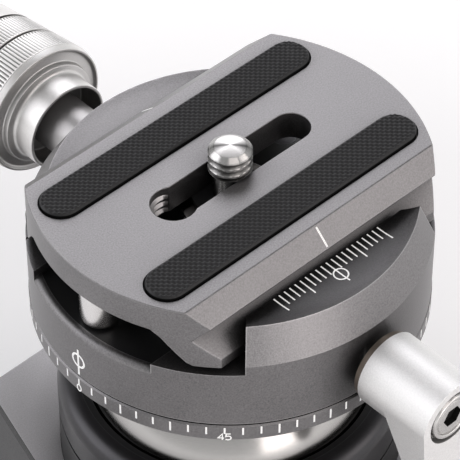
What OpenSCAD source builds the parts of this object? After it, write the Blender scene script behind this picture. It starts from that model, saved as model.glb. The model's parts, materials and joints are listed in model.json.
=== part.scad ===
// Low profile ball head with a panning quick release clamp and a sliding camera plate.
// Origin: centre of the tripod thread on the underside of the base. X runs along the plate's slot,
// +Y is the side of the clamp knob, -Y is the side of the pan lever and +Z is up.

/* [Base] */
// Radius of the pan base
base_r = 27; // [24:0.5:32]
// Height of the pan base without its spigot
base_h = 6; // [5:0.1:8]
// Pilot radius of the 3/8 inch tripod thread
thread_r = 4; // [3.9:0.05:4.1]
// Outer radius of the steel thread insert
insert_r = 6.5; // [6:0.1:7]
// Radius of the spigot that the housing turns on
spigot_r = 12; // [11:0.1:13]
// Thickness of the nylon pan washer
washer_t = 0.5; // [0.4:0.05:0.8]

/* [Housing] */
// Width of the housing along X
block_x = 54.8; // [53:0.2:62]
// Width of the housing along Y
block_y = 65; // [62:0.5:72]
// Width of the housing's tapered ends
block_end = 43; // [40:0.5:50]
// Corner radius of the housing in plan
corner_r = 3; // [2:0.5:6]
// Depth of the housing's flat top under the ball's centre
block_top = 8.5; // [8:0.1:9.5]
// Thickness of the top cover
cover_t = 2; // [1.5:0.1:2.6]

/* [Ball] */
// Radius of the ball
ball_r = 22.5; // [20:0.1:24]
// Height of the ball's lowest point over the pan retainer
ball_z = 1.4; // [1:0.1:4]
// Height of the rim of the ball collar over the ball's centre
rim_z = 7; // [6.4:0.1:8]
// Clearance between the ball and its liner and seat
ball_gap = 0.3; // [0.3:0.02:0.4]

/* [Panning ring] */
// Distance that the degree ring stands out from the clamp's wall
ring_r = 0.1; // [0:0.05:0.4]
// Height of the degree ring's underside over the crown of the full ball
ring_z = 0.1; // [0:0.1:4]
// Height of the degree ring
ring_h = 2.9; // [2.4:0.1:4]
// Radius of the stem's spigot inside the clamp
stem_r = 9; // [8:0.1:9.8]

/* [Clamp] */
// Outer radius of the clamp
clamp_r = 29.3; // [26.4:0.1:33]
// Height of the clamp's ledges over the gap above the degree ring
ledge_h = 10; // [9.2:0.1:12]
// Half width of the clamp's channel
channel_half = 12.2; // [11.4:0.1:13]
// Depth of the channel floor under the ledges
channel_depth = 2.4; // [2.1:0.1:2.7]
// Height of the jaws' outer top edge over the ledges
jaw_h = 7.1; // [6.8:0.1:8]
// Half length of the jaws at their noses
jaw_half = 15; // [12:0.1:16]
// Radius of the screw that draws the jaw
draw_r = 3; // [2.5:0.1:3.2]
// Radius of the jaw's guide pins
guide_r = 2; // [1.6:0.1:2.2]
// Distance of each guide pin from the middle
guide_x = 14; // [12:0.1:15]

/* [Clamp knob] */
// Largest radius of the clamp knob
knob_r = 10.9; // [9.8:0.1:12.4]
// Radius of the clamp knob at its outer end
knob_end_r = 9; // [8:0.1:10]
// Radius of the clamp knob's hollow neck
neck_r = 7.2; // [6.4:0.1:8]
// Distance of the neck's mouth from the clamp's wall
neck_y = 6.3; // [5.6:0.1:8]
// Length of the clamp knob from the neck's mouth to the end cap
knob_len = 25; // [22:0.5:30]

/* [Pan lever] */
// Radius of the lever's hub
hub_r = 5.7; // [5.1:0.1:6.4]
// Distance of the hub's inner end from the clamp's wall
hub_y = 2.2; // [1.8:0.1:4]
// Length of the lever's hub
hub_len = 12.7; // [10:0.1:13]
// Length of the lever's arm below its axis
arm_len = 24; // [21:0.5:27]
// Thickness of the lever's arm at its tip
arm_tip = 3.6; // [3:0.1:4.6]

/* [Plate] */
// Distance that the plate's round ends stand back from the clamp's wall
plate_r = 0.3; // [0:0.1:1]
// Height of the plate's top over the clamp's ledges
plate_top = 11.4; // [10.6:0.1:13]
// Half width of the plate's top face
plate_half = 16.4; // [15:0.1:17.6]
// Half width of the plate's dovetail
dove_half = 20.2; // [19:0.1:21.4]
// Half width of the screw slot
slot_half = 2.85; // [2.6:0.05:3.1]
// Half length of the screw slot between its end centres
slot_run = 11.6; // [10.5:0.1:13]
// Width of the rubber pads
pad_w = 6.5; // [5.6:0.1:7.4]
// Distance that each pad's ends stand back from the plate's ends
pad_half = 3.8; // [3:0.1:8]
// Distance of each pad from the middle
pad_y = 10.85; // [9.8:0.05:11.6]
// Height of the pads over the plate
pad_rise = 0.8; // [0.4:0.1:1.2]
// Radius of the stop pins
pin_r = 2.9; // [2.4:0.05:3.2]
// Distance of each stop pin from the plate's end
pin_x = 4.15; // [3.6:0.05:5.5]

/* [Camera screw] */
// Radius of the 1/4 inch camera screw
screw_r = 3.175; // [3.1:0.025:3.25]
// Height of the camera screw over the plate
screw_rise = 4.1; // [3.6:0.1:6]

/* [Lock knobs] */
// Radius of the main knob's grip
main_r = 15; // [13:0.5:17]
// Length of the main knob's grip
main_len = 16; // [13:0.5:20]
// Depth of the main knob's axis under the ball's centre
main_z = 18.5; // [17.5:0.1:19]
// Radius of the base pan knob
pan_knob_r = 7.5; // [6.5:0.1:8.5]
// Height of the base pan knob's axis over the housing's underside
pan_knob_z = 3.2; // [2.8:0.1:3.6]

/* [Hidden] */
$fn = 96;
eps = 0.5;
run_gap = 0.05;
flat_gap = 0.1;
edge = 0.6;

// Stack of heights from the base up
housing_z = base_h + washer_t + flat_gap;
web_t = 6.4;
spigot_top = housing_z + web_t + flat_gap;
retainer_t = 1.5;
retainer_top = spigot_top + retainer_t;
retainer_rim = 2.5;
retainer_r = spigot_r + retainer_rim;
retainer_inset = 1.5;
retainer_bore_r = thread_r + retainer_inset;
washer_inset = 2;
washer_r = base_r - washer_inset;
washer_gap = 0.4;
washer_bore_r = spigot_r + washer_gap;
web_bore_gap = 1;
web_bore_r = retainer_r + web_bore_gap;
cavity_gap = 0.4;
cavity_z = retainer_top + cavity_gap;
ball_mid_z = retainer_top + ball_z + ball_r;
top_z = ball_mid_z - block_top;
cover_z = top_z - cover_t;
block_straight = 11;

// Radii and heights of the ball's cup, all worked out from the ball
seat_wall = 1.5;
seat_bore_r = ball_r + seat_wall;
skirt_wall = 2.1;
skirt_r = ball_r + skirt_wall;
lip_gap = 0.5;
lip_r = ball_r + lip_gap;
liner_wall = 1.7;
liner_r = ball_r + liner_wall;
collar_wall = 3.6;
collar_r = ball_r + collar_wall;
socket_r = ball_r + ball_gap;
seal_t = 0.6;
seal_wall = 1.2;
seal_r = skirt_r + seal_wall;
rim_top_z = ball_mid_z + rim_z;
collar_h = 7;
collar_z = rim_top_z - collar_h;
cup_z = collar_z - seal_t;
collar_round = 2.4;
lip_t = 0.5;
liner_h = 3;
skirt_drop = 6.6;
skirt_z = ball_mid_z - skirt_drop;
seat_top_gap = 0.4;
seat_top = skirt_z - seat_top_gap;
seat_drop = 16;
seat_z = ball_mid_z - seat_drop;
seat_cone_rise = 2.5;
seat_cone_z = seat_z + seat_cone_rise;
seat_cone_run = 4;
seat_hole_inset = 6;
seat_hole_r = ball_r - seat_hole_inset;
skirt_bore_gap = 1;
ledge_bore_z = skirt_z - skirt_bore_gap;

// Stem and ring
stem_flange_r = 12.5;
stem_flat = ball_mid_z + sqrt(ball_r * ball_r - stem_flange_r * stem_flange_r);
shank_r = 7;
shank_rise = 3.5;
shank_z = ball_mid_z + shank_rise;
ring_out_r = clamp_r + ring_r;
ring_low_z = ball_mid_z + ball_r + ring_z;
ring_top = ring_low_z + ring_h;
ring_bevel = 0.25;
glide_t = 0.35;
glide_inset = 4;
glide_r = ring_out_r - glide_inset;
glide_bore_gap = 3;
glide_bore_r = stem_r + glide_bore_gap;
ring_gap = 0.4;
clamp_z = ring_top + ring_gap;
ledge_z = clamp_z + ledge_h;
channel_z = ledge_z - channel_depth;
liner_plate_t = 1;
stem_top_gap = 0.2;
stem_top = channel_z - stem_top_gap;
clip_t = 0.8;
clip_z = stem_top - flat_gap - clip_t;
clip_wall = 2;
clip_r = stem_r + clip_wall;
clip_neck_depth = 0.6;
clip_neck_r = stem_r - clip_neck_depth;
clip_mouth = 3;
pocket_gap = 0.6;
pocket_r = clip_r + pocket_gap;
pocket_z = clip_z - flat_gap;

// Plate, from the ledges up
plate_end_r = clamp_r - plate_r;
plate_lift = 1.1;
plate_bottom = ledge_z + plate_lift;
plate_top_z = ledge_z + plate_top;
deck_t = 4.8;
deck_z = plate_top_z - deck_t;
chamfer_run = 2.8;
chamfer_y = plate_half + chamfer_run;
chamfer_drop = 2.7;
chamfer_z = plate_top_z - chamfer_drop;
dove_lift = 1.8;
dove_z = plate_bottom + dove_lift;
dove_rise = 3.1;
rail_w = 3;
rail_y = dove_half - rail_w;
rail_ease_y = 0.8;
rail_ease_z = 0.5;
rail_run = 3.9;
rail_top_y = rail_y - rail_run;
rail_bevel_y = 1.3;
rail_bevel_z = 1;
pad_seat = 0.7;
pad_reach = plate_end_r - pad_half;
slot_x = 0.3;
keyhole_gap = 0.15;
keyhole_r = screw_r + keyhole_gap;
keyhole_shift = 0.5;
keyhole_x = slot_x - slot_run + keyhole_shift;
pin_gap = 0.3;
pin_end = channel_z + liner_plate_t + pin_gap;
pin_mid_x = plate_end_r - pin_x;

// Jaws
rim_w = 1.3;
rim_r = clamp_r - rim_w;
rim_h = 1.2;
rim_round = 1;
jaw_gap = 0.3;
jaw_foot = 2;
jaw_base_z = clamp_z + jaw_foot;
jaw_wall_rise = 1.6;
wall_top = ledge_z + jaw_wall_rise;
jaw_top = ledge_z + jaw_h;
jaw_wall = dove_half + jaw_gap;
nose_reach = 1.5;
nose_y = jaw_wall - nose_reach;
nose_low_z = dove_z + nose_reach;
nose_h = 1.7;
nose_z = nose_low_z + nose_h;
jaw_slope_run = 2.4;
jaw_top_r = clamp_r - jaw_slope_run;
rear_rise = 0.3;
rear_top = nose_z + rear_rise;
rear_top_inset = 0.6;
rear_top_r = jaw_top_r - rear_top_inset;
scoop_run = 4.5;
scoop_in_r = jaw_top_r - scoop_run;
seam_inset = 1.3;
seam_y = nose_y - seam_inset;
axis_rise = 4.9;
axis_z = clamp_z + axis_rise;
draw_gap = 0.5;
draw_hole_y = channel_half + draw_gap;
draw_tip_y = draw_hole_y + draw_gap;
draw_neck_wall = 1.4;
draw_neck_r = draw_r + draw_neck_wall;
draw_shoulder_gap = 0.35;
draw_shoulder_y = clamp_r + draw_shoulder_gap;
guide_root_y = 9.5;
guide_cover = 1.5;
guide_out_x = guide_x + guide_r;
guide_hole_y = sqrt(clamp_r * clamp_r - guide_out_x * guide_out_x) - guide_cover;
guide_tip_y = guide_hole_y - draw_gap;

// Clamp knob stations along Y
neck_in_y = clamp_r + neck_y;
neck_wall = 1.2;
neck_len = 4.6;
front_len = 6.2;
band_len = 5.2;
groove_len = 0.6;
groove_depth = 0.6;
neck_flare = 0.8;
front_edge = 0.5;
end_run = 1.4;
end_bevel = 1;
knob_cap_t = 1;
knob_cap_r = knob_end_r - end_bevel - edge;
knob_end_y = neck_in_y + knob_len;
band_y = neck_in_y + front_len;
groove_1 = band_y + band_len;
groove_2 = groove_1 + groove_len + band_len;
function taper_r(y) = knob_r - (knob_r - knob_end_r) * (y - band_y) / (knob_end_y - band_y);

// Lever
hub_in_y = clamp_r + hub_y;
hub_end_y = hub_in_y + hub_len;
stud_r = 2.5;
shoe_r = 1.6;
shoe_len = 3.4;
shoe_gap = 0.35;
shoe_back_y = stem_r + shoe_gap + shoe_len;
stud_tip_gap = 0.3;
stud_tip_y = shoe_back_y + stud_tip_gap;
shoe_bore_gap = 1;
shoe_bore_y = shoe_back_y + shoe_bore_gap;
lever_z = pocket_z - shoe_r;
lever_washer_t = 1;
lever_washer_inset = 0.4;
lever_washer_r = hub_r - lever_washer_inset;
recess_r = 4.4;
recess_depth = 1.4;
lever_head_gap = 0.6;
lever_head_r = recess_r - lever_head_gap;
lever_head_drop = 0.3;
socket_flat = 1.5;
arm_root_in = 8.1;
arm_root_y = hub_end_y - arm_root_in;
arm_knee_in = 4;
arm_knee_y = hub_end_y - arm_knee_in;
arm_knee_drop = 9.7;
arm_knee_z = lever_z - arm_knee_drop;
arm_tip_z = lever_z - arm_len;
arm_tip_half = 4.3;

// Camera screw
screw_neck_gap = 0.45;
screw_neck_r = slot_half - screw_neck_gap;
screw_foot_gap = 0.2;
screw_foot = plate_top_z + screw_foot_gap;
clip_ring_t = 0.7;
clip_ring_r = 5.5;
head_r = 7.5;
head_t = 2.6;
head_socket = 2;
tip_bevel = 0.7;
head_z = deck_z - clip_ring_t - flat_gap - head_t;

// Lock knobs
main_axis_z = ball_mid_z - main_z;
plunger_r = 4;
boss_gap = 0.2;
boss_r = cover_z - main_axis_z - boss_gap;
boss_len = 5.6;
boss_x = block_x / 2 + boss_len;
bush_r = 5.4;
bush_flange_inset = 0.4;
bush_flange_r = boss_r - bush_flange_inset;
bush_flange_t = 1;
bush_gap = 0.8;
bush_in_x = seat_bore_r + bush_gap;
plunger_back_x = boss_x;
plunger_cone_gap = 0.6;
plunger_cone_x = seat_bore_r + plunger_cone_gap;
plunger_cone_run = 3;
plunger_tip_x = plunger_cone_x - plunger_cone_run;
plunger_tip_r = 1.5;
spindle_gap = 0.3;
spindle_x = boss_x + spindle_gap;
main_neck_r = 8;
main_neck_gap = 0.5;
main_neck_x = boss_x + bush_flange_t + main_neck_gap;
main_neck_len = 3;
main_grip_x = main_neck_x + main_neck_len;
main_end_x = main_grip_x + main_len;
main_cap_t = 1.2;
main_cap_inset = 4;
main_cap_r = main_r - main_cap_inset;
main_rim_inset = 0.4;
main_rim_r = main_r - main_rim_inset;
main_edge = 0.8;
main_back_inset = 1;
main_back_r = main_r - main_back_inset;
grip_t = 2.2;
grip_margin = 3;
grip_core_r = main_r - grip_t;
pan_axis_z = housing_z + pan_knob_z;
pan_screw_r = 2;
pan_shoe_len = 3;
pan_shoe_gap = 0.7;
pan_shoe_y = spigot_r + pan_shoe_gap;
pan_screw_gap = 0.3;
pan_screw_y = pan_shoe_y + pan_shoe_len + pan_screw_gap;
pan_knob_gap = 1;
pan_knob_y = block_y / 2 + pan_knob_gap;
pan_knob_len = 12;
pan_neck_r = 4.5;
pan_neck_len = 3;
pan_edge = 1;

// Fasteners
small_screw_r = 1;
small_head_r = 1.9;
small_socket = 0.8;
small_socket_depth = 0.9;
retainer_pitch_r = (insert_r + spigot_r) / 2;
cover_screw_r = 1.5;
cover_head_r = 2.8;
cover_head_t = 2;
cover_socket = 1.25;
cover_screw_z = housing_z + flat_gap;
cover_screw_top = cover_z + cover_t / 2;
cover_screw_inset_x = 3.2;
cover_screw_x = block_end / 2 - cover_screw_inset_x;
cover_screw_inset_y = 5.4;
cover_screw_y = block_y / 2 - cover_screw_inset_y;
floor_screw_inset_x = 8.5;
floor_screw_x = rim_r - floor_screw_inset_x;
floor_screw_inset_y = 3.2;
floor_screw_y = channel_half - floor_screw_inset_y;
floor_screw_len = 4;
floor_head_t = 0.6;
floor_head_z = channel_z + liner_plate_t - floor_head_t;
floor_tip_gap = 0.2;

// A cylinder along X from x0 to x1 at height z
module rod_x(r, x0, x1, z) {
  translate([x0, 0, z]) rotate([0, 90, 0]) cylinder(r = r, h = x1 - x0);
}

// A cylinder along Y from y0 to y1 at height z, x to one side
module rod_y(r, y0, y1, z, x = 0) {
  translate([x, y0, z]) rotate([-90, 0, 0]) cylinder(r = r, h = y1 - y0);
}

// A cylinder along Z from z0 to z1
module rod_z(r, z0, z1) {
  translate([0, 0, z0]) cylinder(r = r, h = z1 - z0);
}

// A plain ring standing on z0
module ring(r_out, r_in, z0, h) {
  translate([0, 0, z0]) difference() {
    cylinder(r = r_out, h = h);
    translate([0, 0, -eps]) cylinder(r = r_in, h = h + 2 * eps);
  }
}

// A hexagonal socket along Z
module hex_socket(flat, h) {
  cylinder(r = flat / cos(30), h = h, $fn = 6);
}

// The housing in plan: straight beside the ball, tapered towards both ends, with round corners
module block_plan() {
  half_x = block_x / 2;
  half_y = block_y / 2;
  taper = atan((half_x - block_end / 2) / (half_y - block_straight));
  round_y = half_y - corner_r;
  round_x = block_end / 2 + corner_r * tan(taper) - corner_r / cos(taper);
  side_x = round_x + corner_r * cos(taper);
  side_y = round_y + corner_r * sin(taper);
  polygon([
    [half_x, -block_straight], [half_x, block_straight], [side_x, side_y], [round_x, half_y],
    [-round_x, half_y], [-side_x, side_y], [-half_x, block_straight], [-half_x, -block_straight],
    [-side_x, -side_y], [-round_x, -half_y], [round_x, -half_y], [side_x, -side_y]]);
  for (sx = [-1, 1], sy = [-1, 1]) translate([sx * round_x, sy * round_y]) circle(corner_r);
}

// A section drawn in Y and Z, pushed along X about the middle
module along_x(length) {
  rotate([90, 0, 90]) linear_extrude(height = length, center = true) children();
}

// A profile drawn as radius and distance, turned about the Y axis at height z
module turned_y(z) {
  translate([0, 0, z]) rotate([-90, 0, 0]) rotate_extrude() children();
}

// A profile drawn as radius and distance, turned about -X at height z
module turned_minus_x(z) {
  translate([0, 0, z]) rotate([0, -90, 0]) rotate_extrude() children();
}

// Four screws at the corners of a rectangle
module at_corners(x, y) {
  for (sx = [-1, 1], sy = [-1, 1]) translate([sx * x, sy * y, 0]) children();
}

// Three places on the spigot's screw circle
module at_retainer_screws() {
  for (a = [90 : 120 : 330]) rotate(a) translate([retainer_pitch_r, 0, 0]) children();
}

module pan_base() {
  color("#55555a") difference() {
    rotate_extrude() polygon([
      [insert_r, 0], [base_r - edge, 0], [base_r, edge], [base_r, base_h - edge],
      [base_r - edge, base_h], [spigot_r, base_h], [spigot_r, spigot_top], [insert_r, spigot_top]]);
    at_retainer_screws() rod_z(small_screw_r, base_h, spigot_top + eps);
  }
}

module thread_insert() {
  color("silver") ring(insert_r, thread_r, 0, spigot_top);
}

module pan_washer() {
  color("#1c1c1e") ring(washer_r, washer_bore_r, base_h, washer_t);
}

module pan_retainer() {
  color("silver") difference() {
    ring(retainer_r, retainer_bore_r, spigot_top, retainer_t);
    at_retainer_screws() rod_z(small_head_r, spigot_top - eps, spigot_top + retainer_t + eps);
  }
}

module retainer_screws() {
  head_top = spigot_top + retainer_t;
  color("dimgray") at_retainer_screws() difference() {
    union() {
      rod_z(small_screw_r, base_h, spigot_top);
      rod_z(small_head_r, spigot_top, head_top);
    }
    translate([0, 0, head_top - small_socket_depth]) hex_socket(small_socket, small_socket_depth + eps);
  }
}

module housing() {
  color("#1b1b1d") difference() {
    union() {
      translate([0, 0, housing_z]) linear_extrude(cover_z - housing_z) block_plan();
      rod_z(collar_r, cover_z - eps, cup_z);
      rod_x(boss_r, -boss_x, -bush_in_x, main_axis_z);
    }
    rod_z(spigot_r + run_gap, housing_z - eps, housing_z + web_t + eps);
    rod_z(web_bore_r, housing_z + web_t, cavity_z + eps);
    rod_z(seat_bore_r, cavity_z, cup_z + eps);
    rod_z(skirt_r, ledge_bore_z, cup_z + eps);
    rod_x(bush_r, -boss_x - eps, -bush_in_x, main_axis_z);
    rod_x(plunger_r + run_gap, -boss_x, -spigot_r, main_axis_z);
    rod_y(pan_screw_r + run_gap, -block_y / 2 - eps, 0, pan_axis_z);
    at_corners(cover_screw_x, cover_screw_y) {
      rod_z(cover_head_r, housing_z - eps, housing_z + cover_head_t);
      rod_z(cover_screw_r, housing_z, cover_z + eps);
    }
  }
}

module top_cover() {
  color("#8e8d92") difference() {
    translate([0, 0, cover_z]) linear_extrude(cover_t) block_plan();
    rod_z(collar_r, cover_z - eps, top_z + eps);
    at_corners(cover_screw_x, cover_screw_y) rod_z(cover_screw_r, cover_z - eps, cover_screw_top);
  }
}

module cover_screws() {
  color("dimgray") at_corners(cover_screw_x, cover_screw_y) difference() {
    union() {
      rod_z(cover_head_r, cover_screw_z, housing_z + cover_head_t);
      rod_z(cover_screw_r, cover_screw_z, cover_screw_top);
    }
    translate([0, 0, housing_z - eps]) hex_socket(cover_socket, cover_head_t);
  }
}

module collar_seal() {
  color("#161617") ring(seal_r, skirt_r, cup_z, seal_t);
}

module collar() {
  shoulder_r = collar_r - collar_round;
  shoulder_z = rim_top_z - collar_round;
  color("#8e8d92") rotate_extrude() difference() {
    union() {
      polygon([
        [lip_r, skirt_z], [skirt_r, skirt_z], [skirt_r, collar_z], [collar_r, collar_z],
        [collar_r, shoulder_z], [shoulder_r, shoulder_z], [shoulder_r, rim_top_z], [lip_r, rim_top_z]]);
      translate([shoulder_r, shoulder_z]) intersection() {
        circle(collar_round);
        square(collar_round);
      }
    }
    translate([0, rim_top_z - lip_t - liner_h]) square([liner_r, liner_h]);
  }
}

module ball_liner() {
  color("#18181a") difference() {
    rod_z(liner_r, rim_top_z - lip_t - liner_h, rim_top_z - lip_t);
    translate([0, 0, ball_mid_z]) sphere(r = socket_r);
  }
}

module spindle_bush() {
  color("goldenrod") difference() {
    union() {
      rod_x(bush_r, -boss_x, -bush_in_x, main_axis_z);
      rod_x(bush_flange_r, -boss_x - bush_flange_t, -boss_x, main_axis_z);
    }
    rod_x(plunger_r + run_gap, -boss_x - bush_flange_t - eps, -bush_in_x + eps, main_axis_z);
  }
}

module ball_seat() {
  seat_r = seat_bore_r - run_gap;
  color("#dcdcd6") difference() {
    rotate_extrude() polygon([
      [seat_hole_r, seat_z], [seat_bore_r - seat_cone_run, seat_z], [seat_r, seat_cone_z],
      [seat_r, seat_top], [seat_hole_r, seat_top]]);
    translate([0, 0, ball_mid_z]) sphere(r = socket_r);
  }
}

module ball() {
  color("#d8d8da") difference() {
    translate([0, 0, ball_mid_z]) sphere(r = ball_r);
    rod_z(ball_r, stem_flat, stem_flat + ball_r);
    rod_z(shank_r, shank_z, stem_flat + eps);
  }
}

module stem() {
  color("#b9b9bd") rotate_extrude() polygon([
    [0, shank_z], [shank_r, shank_z], [shank_r, stem_flat], [stem_flange_r, stem_flat],
    [stem_flange_r, ring_low_z], [stem_r, ring_low_z], [stem_r, clip_z], [clip_neck_r, clip_z],
    [clip_neck_r, clip_z + clip_t], [stem_r, clip_z + clip_t], [stem_r, stem_top], [0, stem_top]]);
}

module pan_ring() {
  color("#77767b") rotate_extrude() polygon([
    [stem_r, ring_low_z], [ring_out_r - ring_bevel, ring_low_z], [ring_out_r, ring_low_z + ring_bevel],
    [ring_out_r, ring_top - ring_bevel], [ring_out_r - ring_bevel, ring_top], [stem_r, ring_top]]);
}

module glide_ring() {
  color("#141415") ring(glide_r, glide_bore_r, ring_top, glide_t);
}

module stem_clip() {
  color("dimgray") difference() {
    ring(clip_r, clip_neck_r, clip_z, clip_t);
    translate([0, -clip_mouth / 2, clip_z - eps]) cube([clip_r + eps, clip_mouth, clip_t + 2 * eps]);
  }
}

// Room that the jaws keep in plan: straight at the nose, then 45 degrees outwards at both ends
module jaw_plan() {
  reach = clamp_r + 2 - nose_y;
  polygon([
    [-jaw_half, nose_y - 1], [jaw_half, nose_y - 1], [jaw_half, nose_y],
    [jaw_half + reach, nose_y + reach], [-jaw_half - reach, nose_y + reach], [-jaw_half, nose_y]]);
}

// The hooked part of a jaw on the +Y side, from its foot up to the given top edge,
// with a dished top that is flat along the nose and rises to a round rim
module jaw_hook(foot, top, top_r) {
  far = clamp_r + 1;
  rise = top - nose_z;
  run = top_r - scoop_in_r;
  dish_r = (run * run + rise * rise) / (2 * rise);
  difference() {
    intersection() {
      along_x(4 * clamp_r) polygon([
        [jaw_wall, foot], [far, foot], [far, top], [nose_y, top], [nose_y, nose_low_z], [jaw_wall, dove_z]]);
      rotate_extrude() polygon([
        [0, foot], [clamp_r, foot], [clamp_r, wall_top], [top_r, top], [0, top]]);
      translate([0, 0, foot]) linear_extrude(top - foot) jaw_plan();
    }
    rotate_extrude() {
      translate([0, nose_z]) square([scoop_in_r, rise + eps]);
      intersection() {
        translate([scoop_in_r, nose_z + dish_r]) circle(dish_r);
        translate([scoop_in_r - eps, nose_z]) square([clamp_r, rise + eps]);
      }
    }
  }
}

// What is taken off the outer edge of the rim at both ends of the channel to round it
module rim_edge() {
  rotate_extrude() translate([clamp_r - rim_round, channel_z + rim_h - rim_round]) difference() {
    square(rim_round + eps);
    circle(rim_round);
  }
}

module clamp_body() {
  reach = 2 * clamp_r;
  color("#7b7a7f") difference() {
    union() {
      rod_z(clamp_r, clamp_z, ledge_z);
      mirror([0, 1, 0]) jaw_hook(ledge_z, jaw_top, jaw_top_r);
    }
    translate([-reach, seam_y, jaw_base_z]) cube(2 * reach);
    intersection() {
      translate([-reach, -channel_half, channel_z])
        cube([2 * reach, 2 * channel_half, channel_depth + eps]);
      union() {
        rod_z(rim_r, 0, ledge_z + eps);
        rod_z(reach, channel_z + rim_h, ledge_z + eps);
        rim_edge();
      }
    }
    rod_z(stem_r + run_gap, clamp_z - eps, ledge_z);
    rod_z(pocket_r, pocket_z, ledge_z);
    rod_y(draw_r + run_gap, draw_hole_y, clamp_r, axis_z);
    for (s = [-1, 1]) rod_y(guide_r, guide_root_y, clamp_r, axis_z, s * guide_x);
    rod_y(shoe_r + run_gap, -shoe_bore_y, 0, lever_z);
    rod_y(stud_r + run_gap, -clamp_r - eps, -shoe_back_y, lever_z);
    at_corners(floor_screw_x, floor_screw_y)
      rod_z(small_screw_r, channel_z - floor_screw_len, channel_z + eps);
  }
}

module channel_plate() {
  floor_top = channel_z + liner_plate_t;
  color("#0f0f10") difference() {
    intersection() {
      translate([-clamp_r, -channel_half, channel_z])
        cube([2 * clamp_r, 2 * channel_half, liner_plate_t]);
      rod_z(rim_r, 0, ledge_z);
    }
    at_corners(floor_screw_x, floor_screw_y) {
      rod_z(small_screw_r, channel_z - eps, floor_top + eps);
      rod_z(small_head_r, floor_head_z, floor_top + eps);
    }
  }
}

module channel_screws() {
  color("silver") at_corners(floor_screw_x, floor_screw_y) difference() {
    union() {
      rod_z(small_screw_r, channel_z - floor_screw_len + floor_tip_gap, floor_head_z + floor_head_t / 2);
      rod_z(small_head_r, floor_head_z, floor_head_z + floor_head_t);
    }
    translate([0, 0, floor_head_z + floor_head_t / 2]) hex_socket(small_socket, floor_head_t);
  }
}

module guide_pins() {
  color("silver") for (s = [-1, 1]) rod_y(guide_r, guide_root_y, guide_tip_y, axis_z, s * guide_x);
}

module movable_jaw() {
  foot = jaw_base_z + flat_gap;
  face_y = seam_y + jaw_gap;
  reach = 2 * clamp_r;
  color("#7b7a7f") difference() {
    union() {
      intersection() {
        rod_z(clamp_r, foot, wall_top);
        translate([-reach, jaw_wall, 0]) cube(2 * reach);
      }
      intersection() {
        rod_z(clamp_r, foot, ledge_z);
        translate([-reach, face_y, 0]) cube(2 * reach);
      }
      jaw_hook(ledge_z, rear_top, rear_top_r);
    }
    rod_y(draw_r + run_gap, 0, reach, axis_z);
    for (s = [-1, 1]) rod_y(guide_r + run_gap, 0, guide_hole_y, axis_z, s * guide_x);
  }
}

module clamp_knob() {
  body_y = neck_in_y + neck_len;
  core_y = knob_end_y - knob_cap_t;
  groove_1_end = groove_1 + groove_len;
  groove_2_end = groove_2 + groove_len;
  color("#d9d9da") turned_y(axis_z) polygon([
    [draw_neck_r, body_y], [neck_r - neck_wall, body_y], [neck_r - neck_wall, neck_in_y],
    [neck_r, neck_in_y], [neck_r, body_y - edge], [neck_r + neck_flare, body_y + edge / 3],
    [knob_r - front_edge, band_y - edge], [knob_r, band_y],
    [taper_r(groove_1), groove_1], [taper_r(groove_1) - groove_depth, groove_1],
    [taper_r(groove_1) - groove_depth, groove_1_end], [taper_r(groove_1_end), groove_1_end],
    [taper_r(groove_2), groove_2], [taper_r(groove_2) - groove_depth, groove_2],
    [taper_r(groove_2) - groove_depth, groove_2_end], [taper_r(groove_2_end), groove_2_end],
    [taper_r(core_y - end_run), core_y - end_run], [knob_end_r - end_bevel, core_y],
    [draw_neck_r, core_y]]);
}

module draw_screw() {
  color("#c4c4c8") {
    rod_y(draw_r, draw_tip_y, draw_shoulder_y + flat_gap, axis_z);
    rod_y(draw_neck_r, draw_shoulder_y, knob_end_y - knob_cap_t, axis_z);
  }
}

module knob_cap() {
  color("#d0d0d2") rod_y(knob_cap_r, knob_end_y - knob_cap_t, knob_end_y, axis_z);
}

module lever() {
  color("#dededf") difference() {
    union() {
      rod_y(hub_r, -hub_end_y, -hub_in_y, lever_z);
      intersection() {
        along_x(2 * hub_r) polygon([
          [-hub_end_y, lever_z], [-hub_end_y, arm_tip_z], [-hub_end_y + arm_tip, arm_tip_z],
          [-arm_knee_y, arm_knee_z], [-arm_root_y, lever_z]]);
        translate([0, -hub_in_y, 0]) rotate([90, 0, 0]) linear_extrude(hub_len) union() {
          polygon([
            [-hub_r, lever_z], [-arm_tip_half, arm_tip_z + arm_tip_half],
            [arm_tip_half, arm_tip_z + arm_tip_half], [hub_r, lever_z]]);
          translate([0, arm_tip_z + arm_tip_half]) circle(arm_tip_half);
        }
      }
    }
    rod_y(stud_r, -hub_end_y - eps, 0, lever_z);
    rod_y(recess_r, -hub_end_y - eps, -hub_end_y + recess_depth, lever_z);
  }
}

module lever_washer() {
  color("#cbb996") difference() {
    rod_y(lever_washer_r, -hub_in_y, -hub_in_y + lever_washer_t, lever_z);
    rod_y(stud_r, -hub_in_y - eps, 0, lever_z);
  }
}

module lever_screw() {
  color("#bdbdc0") difference() {
    rod_y(lever_head_r, -hub_end_y + lever_head_drop, -hub_end_y + recess_depth, lever_z);
    translate([0, -hub_end_y, lever_z]) rotate([-90, 0, 0])
      hex_socket(socket_flat, recess_depth - lever_head_drop);
  }
}

module lever_stud() {
  color("silver") rod_y(stud_r, -hub_end_y + recess_depth, -stud_tip_y, lever_z);
}

module pan_lock_shoe() {
  color("goldenrod") rod_y(shoe_r, -shoe_back_y, -stem_r - shoe_gap, lever_z);
}

// The plate's section on the +Y side, from the middle of the top round to the middle of the deck
function plate_side() = [
  [plate_half, plate_top_z], [chamfer_y, chamfer_z], [dove_half - dove_rise, dove_z + dove_rise],
  [dove_half, dove_z], [dove_half, plate_bottom], [rail_y, plate_bottom],
  [rail_y - rail_ease_y, plate_bottom + rail_ease_z], [rail_top_y, deck_z - rail_bevel_z],
  [rail_top_y - rail_bevel_y, deck_z]];

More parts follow.
